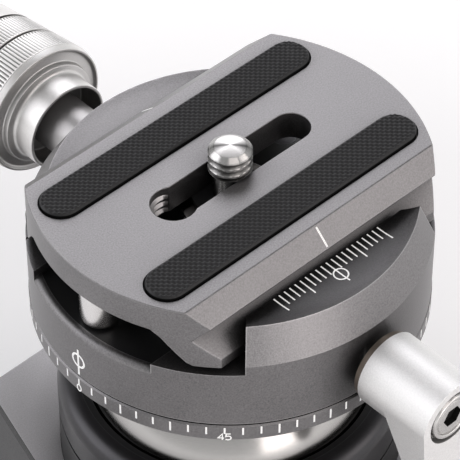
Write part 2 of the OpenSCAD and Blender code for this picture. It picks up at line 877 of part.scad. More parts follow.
// A round ended bar along X, centred, standing on z = 0
module stadium(half_len, r, h) {
  for (s = [-1, 1]) translate([s * (half_len - r), 0, 0]) cylinder(r = r, h = h);
  translate([r - half_len, -r, 0]) cube([2 * (half_len - r), 2 * r, h]);
}

module plate() {
  side = plate_side();
  last = len(side) - 1;
  other_side = [for (i = [last : -1 : 0]) [-side[i][0], side[i][1]]];
  color("#9b9a9f") difference() {
    intersection() {
      along_x(2 * plate_end_r) polygon(concat(side, other_side));
      rod_z(plate_end_r, 0, plate_top_z + eps);
    }
    translate([slot_x, 0, deck_z - eps]) stadium(slot_run + slot_half, slot_half, deck_t + 2 * eps);
    translate([keyhole_x, 0, deck_z - eps]) cylinder(r = keyhole_r, h = deck_t + 2 * eps);
    for (s = [-1, 1]) translate([0, s * pad_y, plate_top_z - pad_seat])
      stadium(pad_reach, pad_w / 2, pad_seat + eps);
  }
}

module pad(side) {
  color("#242426") translate([0, side * pad_y, plate_top_z - pad_seat])
    stadium(pad_reach, pad_w / 2, pad_seat + pad_rise);
}

module pad_front() {
  pad(-1);
}

module pad_rear() {
  pad(1);
}

module stop_pins() {
  color("#d6d3ce") for (s = [-1, 1]) translate([s * pin_mid_x, 0, 0]) rod_z(pin_r, pin_end, deck_z);
}

module screw_clip() {
  color("#2a2a2c")
    ring(clip_ring_r, screw_neck_r + run_gap, deck_z - clip_ring_t - flat_gap / 2, clip_ring_t);
}

module camera_screw() {
  screw_top = plate_top_z + screw_rise;
  color("#c9c6c0") difference() {
    rotate_extrude() polygon([
      [0, head_z], [head_r, head_z], [head_r, head_z + head_t], [screw_neck_r, head_z + head_t],
      [screw_neck_r, screw_foot], [screw_r, screw_foot], [screw_r, screw_top - tip_bevel],
      [screw_r - tip_bevel, screw_top], [0, screw_top]]);
    translate([0, 0, head_z - eps]) hex_socket(head_socket, head_t);
  }
}

module main_knob() {
  grip_x = main_grip_x + grip_margin;
  grip_end_x = main_end_x - grip_margin;
  color("#cfcfd1") turned_minus_x(main_axis_z) polygon([
    [plunger_r, main_neck_x], [main_neck_r, main_neck_x], [main_neck_r, main_grip_x - main_edge],
    [main_back_r, main_grip_x], [main_rim_r, main_grip_x + main_edge], [main_rim_r, grip_x],
    [grip_core_r, grip_x], [grip_core_r, grip_end_x], [main_rim_r, grip_end_x],
    [main_rim_r, main_end_x - main_edge], [main_rim_r - main_edge, main_end_x],
    [plunger_r, main_end_x]]);
}

module main_knob_grip() {
  grip_x = main_grip_x + grip_margin;
  grip_end_x = main_end_x - grip_margin;
  color("#19191b") turned_minus_x(main_axis_z) polygon([
    [grip_core_r, grip_x], [main_r, grip_x], [main_r, grip_end_x], [grip_core_r, grip_end_x]]);
}

module main_knob_cap() {
  color("#c6c6c9") rod_x(main_cap_r, -main_end_x - main_cap_t, -main_end_x, main_axis_z);
}

module lock_spindle() {
  color("silver") rod_x(plunger_r, -main_end_x, -spindle_x, main_axis_z);
}

module lock_plunger() {
  color("silver") turned_minus_x(main_axis_z) polygon([
    [0, plunger_tip_x], [plunger_tip_r, plunger_tip_x], [plunger_r, plunger_cone_x],
    [plunger_r, plunger_back_x], [0, plunger_back_x]]);
}

module pan_knob() {
  grip_y = pan_knob_y + pan_neck_len;
  end_y = pan_knob_y + pan_knob_len;
  color("#d0d0d2") mirror([0, 1, 0]) turned_y(pan_axis_z) polygon([
    [pan_screw_r, pan_knob_y], [pan_neck_r, pan_knob_y], [pan_neck_r, grip_y],
    [pan_knob_r - edge, grip_y], [pan_knob_r, grip_y + edge], [pan_knob_r, end_y - pan_edge],
    [pan_knob_r - pan_edge, end_y], [pan_screw_r, end_y]]);
}

module pan_lock_screw() {
  color("silver") rod_y(pan_screw_r, -pan_knob_y - pan_knob_len, -pan_screw_y, pan_axis_z);
}

module base_shoe() {
  color("goldenrod") rod_y(pan_screw_r, -pan_shoe_y - pan_shoe_len, -pan_shoe_y, pan_axis_z);
}

pan_base();
thread_insert();
pan_washer();
pan_retainer();
retainer_screws();
housing();
top_cover();
cover_screws();
collar_seal();
collar();
ball_liner();
spindle_bush();
ball_seat();
ball();
stem();
pan_ring();
glide_ring();
stem_clip();
clamp_body();
channel_plate();
channel_screws();
guide_pins();
movable_jaw();
clamp_knob();
draw_screw();
knob_cap();
lever();
lever_washer();
lever_screw();
lever_stud();
pan_lock_shoe();
plate();
pad_front();
pad_rear();
stop_pins();
screw_clip();
camera_screw();
main_knob();
main_knob_grip();
main_knob_cap();
lock_spindle();
lock_plunger();
pan_knob();
pan_lock_screw();
base_shoe();
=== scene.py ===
# Low profile ball head: finishes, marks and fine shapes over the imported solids.
import json
import math
import bpy
import bmesh
from mathutils import Matrix, Vector


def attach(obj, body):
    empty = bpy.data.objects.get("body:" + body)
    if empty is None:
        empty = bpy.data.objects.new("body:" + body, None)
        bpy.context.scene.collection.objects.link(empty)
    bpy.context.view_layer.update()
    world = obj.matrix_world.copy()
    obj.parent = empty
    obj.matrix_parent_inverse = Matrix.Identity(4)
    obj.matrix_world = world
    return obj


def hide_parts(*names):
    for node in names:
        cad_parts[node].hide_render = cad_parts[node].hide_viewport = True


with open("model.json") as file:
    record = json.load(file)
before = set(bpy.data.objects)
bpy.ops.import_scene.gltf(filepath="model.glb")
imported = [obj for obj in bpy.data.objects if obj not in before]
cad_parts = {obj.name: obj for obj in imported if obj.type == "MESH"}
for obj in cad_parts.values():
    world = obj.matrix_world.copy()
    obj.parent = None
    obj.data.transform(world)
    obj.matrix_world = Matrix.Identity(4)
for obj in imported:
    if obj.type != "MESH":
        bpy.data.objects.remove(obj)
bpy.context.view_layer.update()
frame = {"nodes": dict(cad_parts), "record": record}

MM = 0.001


# Camera

CAMERA_PLACE = (-0.1998, -0.2108, 0.3636)
CAMERA_RIGHT = (0.7260, -0.6880, 0.0)
CAMERA_AHEAD = (0.4863, 0.5133, -0.7071)
CAMERA_LENS, CAMERA_SENSOR = 224.05, 36.0
CAMERA_NEAR, CAMERA_FAR = 0.01, 20.0


def set_camera():
    data = bpy.data.cameras.new("camera")
    data.sensor_width = CAMERA_SENSOR
    data.lens = CAMERA_LENS
    data.clip_start = CAMERA_NEAR
    data.clip_end = CAMERA_FAR
    cam = bpy.data.objects.new("camera", data)
    bpy.context.collection.objects.link(cam)
    right = Vector(CAMERA_RIGHT).normalized()
    ahead = Vector(CAMERA_AHEAD).normalized()
    up = right.cross(ahead).normalized()
    turn = Matrix((right, up, -ahead)).transposed().to_4x4()
    cam.matrix_world = Matrix.Translation(CAMERA_PLACE) @ turn
    bpy.context.scene.camera = cam


set_camera()
bpy.context.scene.view_settings.view_transform = "Standard"


# Shader trees

def wire(tree, source, target):
    tree.links.new(source, target)


def feed(tree, value, socket):
    """Sets a socket to a plain number, or links it to another node's output."""
    if isinstance(value, (int, float)):
        socket.default_value = value
    else:
        wire(tree, value, socket)


def maths(tree, operation, a, b=None, clamp=False):
    node = tree.nodes.new("ShaderNodeMath")
    node.operation = operation
    node.use_clamp = clamp
    feed(tree, a, node.inputs[0])
    if b is not None:
        feed(tree, b, node.inputs[1])
    return node.outputs[0]


def times(tree, a, b, clamp=False):
    return maths(tree, "MULTIPLY", a, b, clamp)


def rest_of(tree, value, clamp=False):
    """What is left of 1 when the value is taken off."""
    return maths(tree, "SUBTRACT", 1.0, value, clamp)


def climb(tree, value, start, slope):
    """0 up to start, then a straight climb to 1."""
    return times(tree, maths(tree, "SUBTRACT", value, start), slope, True)


def place_in(tree, kind="Object"):
    return tree.nodes.new("ShaderNodeTexCoord").outputs[kind]


def axis_of(tree, kind, axis):
    """One axis of a texture coordinate."""
    split = tree.nodes.new("ShaderNodeSeparateXYZ")
    wire(tree, place_in(tree, kind), split.inputs[0])
    return split.outputs[axis]


def noise(tree, coords, scale, detail):
    node = tree.nodes.new("ShaderNodeTexNoise")
    node.inputs["Detail"].default_value = detail
    feed(tree, scale, node.inputs["Scale"])
    wire(tree, coords, node.inputs["Vector"])
    return node.outputs["Fac"]


def scaled(tree, colour, amount):
    """A colour made brighter or darker by one number."""
    node = tree.nodes.new("ShaderNodeVectorMath")
    node.operation = "SCALE"
    wire(tree, colour, node.inputs[0])
    wire(tree, amount, node.inputs["Scale"])
    return node.outputs[0]


def blended(tree, amount, colour, goal):
    """A colour that reaches the fixed colour goal where amount is 1."""
    node = tree.nodes.new("ShaderNodeMix")
    node.data_type = "RGBA"
    wire(tree, amount, node.inputs["Factor"])
    wire(tree, colour, node.inputs["A"])
    node.inputs["B"].default_value = (*goal, 1.0)
    return node.outputs["Result"]


def new_group(name, inputs, outputs):
    group = bpy.data.node_groups.new(name, "ShaderNodeTree")
    for label, kind, value in inputs:
        socket = group.interface.new_socket(label, in_out="INPUT", socket_type=kind)
        socket.default_value = value
    for label, kind in outputs:
        group.interface.new_socket(label, in_out="OUTPUT", socket_type=kind)
    start = group.nodes.new("NodeGroupInput")
    end = group.nodes.new("NodeGroupOutput")
    return group, start.outputs, end.inputs


def use_group(tree, group, **values):
    """Puts a group in a tree with its inputs set; an underscore in a name stands for a space."""
    node = tree.nodes.new("ShaderNodeGroup")
    node.node_tree = group
    for label, value in values.items():
        node.inputs[label.replace("_", " ")].default_value = value
    return node.outputs


NUMBER, COLOUR = "NodeSocketFloat", "NodeSocketColor"
BLOTCHES_PER_METRE, BLOTCH_SHARE = 90.0, 0.35
EDGE_PATCHES_PER_METRE, EDGE_GAIN = 900.0, 6.0
CORNER_POWER = 1.7
BOWTIE_DARK_ANGLE, BOWTIE_DARK_WIDTH = 0.76, 1.5


def grain_group():
    """Blasted or moulded grain: a colour and a roughness that vary a little, and a height."""
    group, given, gives = new_group(
        "surface grain",
        [("Colour", COLOUR, (0.5, 0.5, 0.5, 1.0)), ("Grain per metre", NUMBER, 5000.0),
         ("Colour change", NUMBER, 0.1), ("Roughness", NUMBER, 0.5), ("Roughness change", NUMBER, 0.1)],
        [("Colour", COLOUR), ("Roughness", NUMBER), ("Height", NUMBER)])
    place = place_in(group)
    fine = noise(group, place, given["Grain per metre"], 2.0)
    broad = noise(group, place, BLOTCHES_PER_METRE, 3.0)
    swing = maths(group, "SUBTRACT", fine, 0.5)
    drift = times(group, maths(group, "SUBTRACT", broad, 0.5), BLOTCH_SHARE)
    both = maths(group, "ADD", swing, drift)
    level = maths(group, "ADD", times(group, both, given["Colour change"]), 1.0)
    wire(group, scaled(group, given["Colour"], level), gives["Colour"])
    rough = maths(group, "ADD", given["Roughness"], times(group, both, given["Roughness change"]), True)
    wire(group, rough, gives["Roughness"])
    wire(group, fine, gives["Height"])
    return group


def edge_group():
    """Mask of the edges, where a finish is worn bright and carries a painted highlight."""
    group, given, gives = new_group(
        "rubbed edges", [("Width", NUMBER, 0.0003), ("Strength", NUMBER, 0.5)], [("Mask", NUMBER)])
    bevel = group.nodes.new("ShaderNodeBevel")
    bevel.samples = 6
    wire(group, given["Width"], bevel.inputs["Radius"])
    dot = group.nodes.new("ShaderNodeVectorMath")
    dot.operation = "DOT_PRODUCT"
    wire(group, bevel.outputs[0], dot.inputs[0])
    wire(group, group.nodes.new("ShaderNodeNewGeometry").outputs["Normal"], dot.inputs[1])
    lift = times(group, rest_of(group, dot.outputs["Value"]), EDGE_GAIN, True)
    patchy = maths(group, "ADD", times(group, noise(group, place_in(group), EDGE_PATCHES_PER_METRE, 3.0), 0.7), 0.3)
    wire(group, times(group, times(group, lift, patchy), given["Strength"]), gives["Mask"])
    return group


def corner_group():
    """Shade that gathers in corners and narrow gaps: 1 in the open, less where faces crowd each other."""
    group, given, gives = new_group(
        "corner shade", [("Reach", NUMBER, 0.006), ("Strength", NUMBER, 0.7)], [("Shade", NUMBER)])
    crowd = group.nodes.new("ShaderNodeAmbientOcclusion")
    crowd.samples = 8
    wire(group, given["Reach"], crowd.inputs["Distance"])
    closed = rest_of(group, maths(group, "POWER", crowd.outputs["AO"], CORNER_POWER))
    wire(group, rest_of(group, times(group, closed, given["Strength"])), gives["Shade"])
    return group


def streak_group():
    """Painted bow-tie reflection on a top face that was turned about Z: dark along one line through the
    middle, fixed to the part.
    """
    group, given, gives = new_group("painted bow-tie reflection", [("Depth", NUMBER, 0.92)], [("Shade", NUMBER)])
    angle = maths(group, "ARCTAN2", axis_of(group, "Object", "Y"), axis_of(group, "Object", "X"))
    swing = maths(group, "ABSOLUTE", maths(group, "SINE", maths(group, "ADD", angle, BOWTIE_DARK_ANGLE)))
    dark = rest_of(group, times(group, swing, BOWTIE_DARK_WIDTH), True)
    upward = climb(group, axis_of(group, "Normal", "Z"), 0.5, 3.0)
    wire(group, rest_of(group, times(group, times(group, dark, upward), given["Depth"])), gives["Shade"])
    return group


GRAIN = grain_group()
EDGE_WEAR_AND_HIGHLIGHT = edge_group()
CORNERS = corner_group()
PAINTED_BOWTIE_REFLECTION = streak_group()
EDGE_WIDTH = 0.00032
SHADE_AND_SIDE_BLACK = (0.006, 0.006, 0.006)
MARK_GLOW = (1.0, 1.0, 0.99, 1.0)


def finish(name, colour, rough, metal=0.0, grain=3000.0, change=0.1, rough_change=0.1, bump=0.0,
           bump_depth=0.00002, specular=0.5, edge=0.0, edge_colour=None, shade=0.0, reach=0.006,
           dark=None, dark_from=0.8, dark_rise=8.0, darkest=1.0, dark_above=None, lathe_with_painted_reflection=False, glow=0.0):
    """One finish: a colour with grain, roughness and bump. Edge rubs the edges bright and paints a highlight
    on them, shade darkens the corners over its reach, dark blackens the top or the side faces, painted shade
    on the clamp and the ring, lathe_with_painted_reflection turns the reflection about Z and paints its dark
    bow-tie, glow is a weak painted glow."""
    mat = bpy.data.materials.new(name)
    mat.use_nodes = True
    tree = mat.node_tree
    shader = tree.nodes["Principled BSDF"]
    shader.inputs["Metallic"].default_value = metal
    shader.inputs["Specular IOR Level"].default_value = specular
    grained = use_group(tree, GRAIN, Colour=(*colour, 1.0), Grain_per_metre=grain, Colour_change=change,
                        Roughness=rough, Roughness_change=rough_change)
    base = grained["Colour"]
    # Edges: worn bright, with a painted highlight along them.
    if edge > 0.0:
        rubbed_and_highlighted = use_group(tree, EDGE_WEAR_AND_HIGHLIGHT, Width=EDGE_WIDTH, Strength=edge)
        base = blended(tree, rubbed_and_highlighted["Mask"], base, edge_colour)
    # Dark: the top or side faces go black; painted shade on the clamp and the ring, plain black sides on the
    # cover.
    if dark:
        where = climb(tree, axis_of(tree, "Normal", "Z"), dark_from, dark_rise)
        if dark == "side":
            where = rest_of(tree, where)
        if dark_above is not None:
            where = times(tree, where, climb(tree, axis_of(tree, "Object", "Z"), dark_above, 2000.0))
        base = blended(tree, times(tree, where, darkest), base, SHADE_AND_SIDE_BLACK)
    if shade > 0.0:
        base = scaled(tree, base, use_group(tree, CORNERS, Strength=shade, Reach=reach)["Shade"])
    if lathe_with_painted_reflection:
        # Painted reflection: the dark bow-tie of a turned face is drawn into the colour, beside the real
        # anisotropic reflection.
        base = scaled(tree, base, use_group(tree, PAINTED_BOWTIE_REFLECTION)["Shade"])
        shader.inputs["Anisotropic"].default_value = 1.0
        shader.inputs["Anisotropic Rotation"].default_value = 0.25
        along = tree.nodes.new("ShaderNodeTangent")
        along.direction_type = "RADIAL"
        along.axis = "Z"
        wire(tree, along.outputs["Tangent"], shader.inputs["Tangent"])
    # Glow: a weak painted glow, light from a part that is no lamp.
    if glow > 0.0:
        shader.inputs["Emission Color"].default_value = MARK_GLOW
        shader.inputs["Emission Strength"].default_value = glow
    wire(tree, base, shader.inputs["Base Color"])
    wire(tree, grained["Roughness"], shader.inputs["Roughness"])
    if bump > 0.0:
        bumped = tree.nodes.new("ShaderNodeBump")
        bumped.inputs["Strength"].default_value = bump
        bumped.inputs["Distance"].default_value = bump_depth
        wire(tree, grained["Height"], bumped.inputs["Height"])
        wire(tree, bumped.outputs["Normal"], shader.inputs["Normal"])
    return mat


GREY = (0.205, 0.200, 0.203)
# Bead-blasted titanium grey; its edge colour is part worn metal, part painted highlight.
BLASTED_GREY = dict(metal=0.88, grain=4300.0, change=1.1, rough_change=0.3, bump=0.7, bump_depth=0.00003,
                    edge=0.8, edge_colour=(0.60, 0.59, 0.59))
TURNED = dict(metal=1.0, change=0.08, rough_change=0.12, bump=0.2)
POLISHED = dict(metal=1.0, grain=900.0, change=0.02)
BLACK_RUBBER = dict(grain=6000.0, change=0.4, rough_change=0.2, bump=0.3)
MOULDED = dict(change=0.3, rough_change=0.15, bump=0.2)

TITANIUM = finish("titanium grey", GREY, 0.42, shade=0.8, **BLASTED_GREY)
# The clamp's grey is a little darker than the titanium grey elsewhere, painted shade for its walls; its
# up-facing faces above 79 mm, the jaw's dish under the plate's edge, are darkened as painted shade.
CLAMP_TITANIUM = finish("titanium grey of the clamp, painted shade in the dish", (0.192, 0.187, 0.19), 0.42, shade=0.75, reach=0.012,
                        dark="top", dark_from=0.9, dark_rise=9.0, darkest=0.72, dark_above=0.079,
                        **BLASTED_GREY)
# The ring's top face, in the narrow gap under the clamp, is blackened: painted shadow in the seam.
RING_TITANIUM = finish("titanium grey, painted shadow in the seam", GREY, 0.42, metal=0.92, grain=4600.0, change=1.0,
                       rough_change=0.3, bump=0.7, bump_depth=0.00003, shade=0.5, dark="top")
COVER_TITANIUM = finish("titanium grey, black sides", (0.27, 0.265, 0.27), 0.42, metal=0.92, grain=4600.0,
                        change=0.6, rough_change=0.3, bump=0.4, edge=0.6, edge_colour=(0.55, 0.54, 0.54),
                        shade=0.5, dark="side")
KNOB_SILVER = finish("satin silver", (0.68, 0.67, 0.66), 0.40, metal=1.0, grain=5200.0, change=0.2,
                     rough_change=0.15, bump=0.4, edge=0.3, edge_colour=(0.85, 0.84, 0.83), shade=0.65)
SILVER = finish("blasted silver", (0.78, 0.775, 0.77), 0.5, metal=0.9, grain=4600.0, change=0.3,
                rough_change=0.2, bump=0.5, edge=0.3, edge_colour=(0.92, 0.92, 0.91), shade=0.6)
BLACK_METAL = finish("black textured metal", (0.005, 0.005, 0.0055), 0.42, grain=3800.0, change=0.4,
                     rough_change=0.2, bump=0.5, edge=0.25, edge_colour=(0.10, 0.10, 0.10))
CHROME = finish("polished chrome", (0.80, 0.80, 0.81), 0.05, rough_change=0.03, **POLISHED)
BLASTED_STEEL = finish("blasted steel", (0.40, 0.39, 0.39), 0.40, metal=0.8, grain=4600.0, change=0.2,
                       rough_change=0.15, bump=0.4)
# Turned chrome: its top face carries a painted bow-tie reflection.
TURNED_CHROME = finish("turned chrome", (0.54, 0.53, 0.52), 0.24, rough_change=0.04, lathe_with_painted_reflection=True,
                       shade=1.0, reach=0.0012, **POLISHED)
PIN_STEEL = finish("ground steel", (0.78, 0.77, 0.76), 0.22, metal=1.0, grain=1500.0, change=0.04,
                   rough_change=0.06)
STEEL = finish("turned steel", (0.55, 0.54, 0.53), 0.28, **TURNED)
BRASS = finish("turned brass", (0.66, 0.50, 0.26), 0.30, **TURNED)
SATIN_CHROME = finish("satin chrome", (0.44, 0.43, 0.42), 0.20, rough_change=0.04, shade=1.0, reach=0.014,
                      **POLISHED)
DARK_SATIN = finish("dark satin metal", (0.050, 0.049, 0.052), 0.34, metal=0.8, grain=4600.0, change=0.3,
                    rough_change=0.15, bump=0.4, edge=0.3, edge_colour=(0.25, 0.25, 0.26))
BRONZE = finish("dull bronze washer", (0.14, 0.115, 0.095), 0.4, metal=0.7, bump=0.2)
RUBBER = finish("black rubber", (0.014, 0.014, 0.015), 0.46, specular=0.3, **BLACK_RUBBER)
# A darker, duller copy of the black rubber for the pads' upright sides: painted shade.
RUBBER_SIDE_PAINTED_SHADE = finish("black rubber, painted shade on the side", (0.004, 0.004, 0.004), 0.8, specular=0.06, **BLACK_RUBBER)
# Near-black finish for the floor and walls of the hex socket: painted shade in the recess.
SOCKET_PAINTED_SHADE = finish("painted shade in the socket", (0.012, 0.012, 0.012), 0.5, specular=0.15, **MOULDED)
BLACK_PLASTIC = finish("black plastic", (0.010, 0.010, 0.011), 0.45, **MOULDED)
WHITE_PLASTIC = finish("natural plastic", (0.72, 0.72, 0.68), 0.45, grain=1500.0, change=0.05, bump=0.1)
# The white marks carry a weak painted glow that lifts them where they lie in shade.
PAINT = finish("white paint with a painted glow", (0.95, 0.95, 0.94), 0.55, change=0.06, glow=0.25)

BY_SLOT = {"titanium_grey": TITANIUM, "silver": SILVER, "black_metal": BLACK_METAL, "chrome": CHROME,
           "steel": STEEL, "brass": BRASS, "rubber": RUBBER, "black_plastic": BLACK_PLASTIC,
           "white_plastic": WHITE_PLASTIC}
OWN_FINISH = {"lever_washer": BRONZE, "draw_screw": BLASTED_STEEL, "collar": DARK_SATIN,
              "channel_screws": DARK_SATIN, "pan_ring": RING_TITANIUM, "top_cover": COVER_TITANIUM,
              "clamp_body": CLAMP_TITANIUM, "knob_cap": KNOB_SILVER, "ball": SATIN_CHROME}
for row in frame["record"]["subparts"]:
    mesh = frame["nodes"][row["node"]].data
    mesh.materials.clear()
    mesh.materials.append(OWN_FINISH.get(row["node"], BY_SLOT[row["material_slot"]]))


# Broken edges on the solids that stay, in millimetres

BROKEN_EDGES = {"plate": 0.25, "clamp_body": 0.35, "movable_jaw": 0.2, "lever": 0.5, "top_cover": 0.5,
                "housing": 0.4, "channel_plate": 0.1, "pan_base": 0.2, "knob_cap": 0.3, "main_knob_cap": 0.3}
WELD_GAP = 0.000002
FLAT_ANGLE, SHARP_ANGLE = 0.3, 13.0


def break_edges(node, width):
    piece = frame["nodes"][node]
    weld = piece.modifiers.new("weld", "WELD")
    weld.merge_threshold = WELD_GAP
    flat = piece.modifiers.new("flat faces", "DECIMATE")
    flat.decimate_type = "DISSOLVE"
    flat.angle_limit = math.radians(FLAT_ANGLE)
    bevel = piece.modifiers.new("broken edges", "BEVEL")
    bevel.limit_method = "ANGLE"
    bevel.angle_limit = math.radians(SHARP_ANGLE)
    bevel.width = width * MM
    bevel.segments = 2
    bevel.miter_outer = "MITER_ARC"
    smooth = piece.modifiers.new("even shading", "WEIGHTED_NORMAL")
    smooth.keep_sharp = False
    smooth.weight = 50


for name, width in BROKEN_EDGES.items():
    break_edges(name, width)


# Mesh helpers, in millimetres

def join(shapes):
    """One shape from several shapes of (points, faces)."""
    points, faces = [], []
    for more_points, more_faces in shapes:
        shift = len(points)
        points.extend(more_points)
        faces.extend(tuple(i + shift for i in face) for face in more_faces)
    return points, faces


def make_piece(name, shape, material, body, stands_for=None, sharp=35.0, other=None):
    """A new piece that rides on a body, and stands for a solid where one is named; other is a second
    material with the first and last of the faces it covers."""
    mesh = bpy.data.meshes.new(name)
    mesh.from_pydata([(x * MM, y * MM, z * MM) for x, y, z in shape[0]], [], shape[1])
    form = bmesh.new()
    form.from_mesh(mesh)
    bmesh.ops.recalc_face_normals(form, faces=form.faces)
    form.to_mesh(mesh)
    form.free()
    mesh.polygons.foreach_set("use_smooth", [True] * len(mesh.polygons))
    mesh.set_sharp_from_angle(angle=math.radians(sharp))
    mesh.materials.append(material)
    if other:
        mesh.materials.append(other[0])
        for face in mesh.polygons[other[1]:other[2]]:
            face.material_index = 1
    piece = bpy.data.objects.new(name, mesh)
    bpy.context.collection.objects.link(piece)
    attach(piece, body)
    if stands_for:
        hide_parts(stands_for)


def eased(corners, bits=4):
    """A profile of (radius, distance, round) corners with each corner eased by its round."""
    path = []
    for i, (radius, distance, ease) in enumerate(corners):
        if ease <= 0.0 or i in (0, len(corners) - 1):
            path.append((radius, distance))
            continue
        here = Vector((radius, distance))
        back = Vector(corners[i - 1][:2]) - here
        on = Vector(corners[i + 1][:2]) - here
        reach = min(ease / math.tan(back.angle(on) / 2), 0.49 * back.length, 0.49 * on.length)
        first = here + back.normalized() * reach
        last = here + on.normalized() * reach
        for k in range(bits + 1):
            t = k / bits
            spot = first * (1 - t) ** 2 + here * (2 * t * (1 - t)) + last * t ** 2
            path.append((spot.x, spot.y))
    return path


def turned(profile, steps, place, ring=False, reach=None):
    """A profile of (radius, distance) points turned about an axis and put in the frame by place."""
    points, faces, rows = [], [], []
    for k, (radius, distance) in enumerate(profile):
        row = []
        for j in range(1 if radius == 0.0 else steps):
            a = 2 * math.pi * j / steps
            r = radius + (reach(k, j) if reach and radius else 0.0)
            row.append(len(points))
            points.append(place(r * math.cos(a), r * math.sin(a), distance))
        rows.append(row)
    pairs = list(zip(rows, rows[1:])) + ([(rows[-1], rows[0])] if ring else [])
    for low, high in pairs:
        for j in range(steps):
            n = (j + 1) % steps
            if len(low) == 1 and len(high) == 1:
                break
            if len(low) == 1:
                faces.append((low[0], high[j], high[n]))
            elif len(high) == 1:
                faces.append((low[j], low[n], high[0]))
            else:
                faces.append((low[j], low[n], high[n], high[j]))
    return points, faces


def about_y(z, sign=1):
    return lambda a, b, h: (a, sign * h, z + b)


def about_minus_x(z):
    return lambda a, b, h: (-h, a, z + b)


def about_z(x=0.0):
    return lambda a, b, h: (x + a, b, h)


def ribbon(path, width, place, closed=False, lift=0.02, sink=0.05):
    """A painted line of even width along (u, v) points; place(u, v, lift) puts it on a surface."""
    spots = [Vector(p) for p in path]
    count = len(spots)
    points, faces = [], []
    for i, spot in enumerate(spots):
        before = spots[i - 1] if closed or i else None
        after = spots[(i + 1) % count] if closed or i < count - 1 else None
        ways = [w.normalized() for w in ((spot - before) if before is not None else None,
                                         (after - spot) if after is not None else None) if w is not None]
        way = sum(ways, Vector((0.0, 0.0))).normalized()
        side = Vector((-way.y, way.x))
        spread = width / 2 / max(side.dot(Vector((-ways[0].y, ways[0].x))), 0.5)
        for away, height in ((spread, lift), (-spread, lift), (-spread, -sink), (spread, -sink)):
            points.append(place(*(spot + side * away), height))
    for i in range(count if closed else count - 1):
        a, b = 4 * i, 4 * ((i + 1) % count)
        for k in range(4):
            m = (k + 1) % 4
            faces.append((a + k, b + k, b + m, a + m))
    if not closed:
        faces.append((0, 1, 2, 3))
        faces.append(tuple(4 * (count - 1) + k for k in (3, 2, 1, 0)))
    return points, faces


def circle_path(u, v, radius_u, radius_v, count=28):
    turns = [2 * math.pi * k / count for k in range(count)]
    return [(u + radius_u * math.cos(a), v + radius_v * math.sin(a)) for a in turns]


def line_path(start, end, count=6):
    a, b = Vector(start), Vector(end)
    return [tuple(a.lerp(b, k / (count - 1))) for k in range(count)]


def on_wall(radius, angle):
    """Places (u, v) on an upright round wall: u runs round it from the given angle, v is the height."""
    def place(u, v, lift):
        a = math.radians(angle) + u / radius
        return ((radius + lift) * math.cos(a), (radius + lift) * math.sin(a), v)
    return place


# Sizes of the pieces below, in millimetres

RING_R, RING_LOW, RING_TOP = 29.4, 61.1, 64.0
WALL_R, INDEX_LOW, INDEX_TOP = 29.3, 64.65, 69.7
PLATE_TOP, CHAMFER_Y, CHAMFER_RUN, CHAMFER_DROP = 85.8, 16.4, 2.8, 2.7
PAD_Y, PAD_REACH, PAD_R, PAD_LOW, PAD_HIGH = 10.85, 25.03, 3.08, 85.1, 86.6
DECK_LOW = 81.0
KEYHOLE_X, KEYHOLE_R = -10.8, 3.325
KNOB_Z, LEVER_Z, LEVER_END = 69.3, 69.2, 44.2
MAIN_Z, PAN_Z = 20.0, 9.8
PIN_X, PIN_R, PIN_LOW = 24.85, 2.9, 73.3
NOSE_Z, DISH_IN_R, DISH_R = 80.5, 22.4, 10.6
SIDES = ((-1, "front"), (1, "rear"))


# Rubber pads with a woven face

ACROSS, ALONG, END_STEPS = 60, 400, 28
PAD_FACES = ACROSS * (ALONG + 2 * END_STEPS)


def pad_shape(side, weave=1.0, bump=0.3, ease=0.2):
    """A strip with round ends: eased upper edge, and a field of small lozenges over its face."""
    straight = PAD_REACH - PAD_R

    def height(x, y):
        depth = PAD_R - math.hypot(max(abs(x) - straight, 0.0), y)
        top = PAD_HIGH - bump
        if depth < ease:
            top -= ease - math.sqrt(max(ease ** 2 - (ease - depth) ** 2, 0.0))
        fade = min(max((depth - 0.1) / 0.2, 0.0), 1.0)
        wave = math.cos(2 * math.pi * x / weave) * math.cos(2 * math.pi * y / weave)
        return top + bump * fade * (0.5 + 0.5 * wave)

    points, faces, grid = [], [], []
    for i in range(ACROSS + 1):
        y = PAD_R * (2 * i / ACROSS - 1)
        cap = math.sqrt(max(PAD_R ** 2 - y * y, 0.0))
        ends = [cap * math.sin(math.pi / 2 * k / END_STEPS) for k in range(1, END_STEPS + 1)]
        row = [-straight - e for e in reversed(ends)]
        row += [straight * (2 * j / ALONG - 1) for j in range(ALONG + 1)]
        row += [straight + e for e in ends]
        grid.append([len(points) + j for j in range(len(row))])
        points += [(x, side * PAD_Y + y, height(x, y)) for x in row]
    for low, high in zip(grid, grid[1:]):
        for j in range(len(low) - 1):
            faces.append((low[j], low[j + 1], high[j + 1], high[j]))
    rim = grid[0] + [row[-1] for row in grid[1:]] + grid[-1][-2::-1] + [row[0] for row in grid[-2:0:-1]]
    foot = []
    for k in rim:
        foot.append(len(points))
        points.append((points[k][0], points[k][1], PAD_LOW))
    for k in range(len(rim)):
        n = (k + 1) % len(rim)
        faces.append((rim[k], foot[k], foot[n], rim[n]))
    faces.append(tuple(foot))
    return points, faces


# The pads' upright sides take the darker rubber copy, painted shade.
for side, label in SIDES:
    make_piece("pad_%s_woven" % label, pad_shape(side), RUBBER, "plate", "pad_" + label, 60.0,
               (RUBBER_SIDE_PAINTED_SHADE, PAD_FACES, None))


# Camera screw with its thread and domed tip

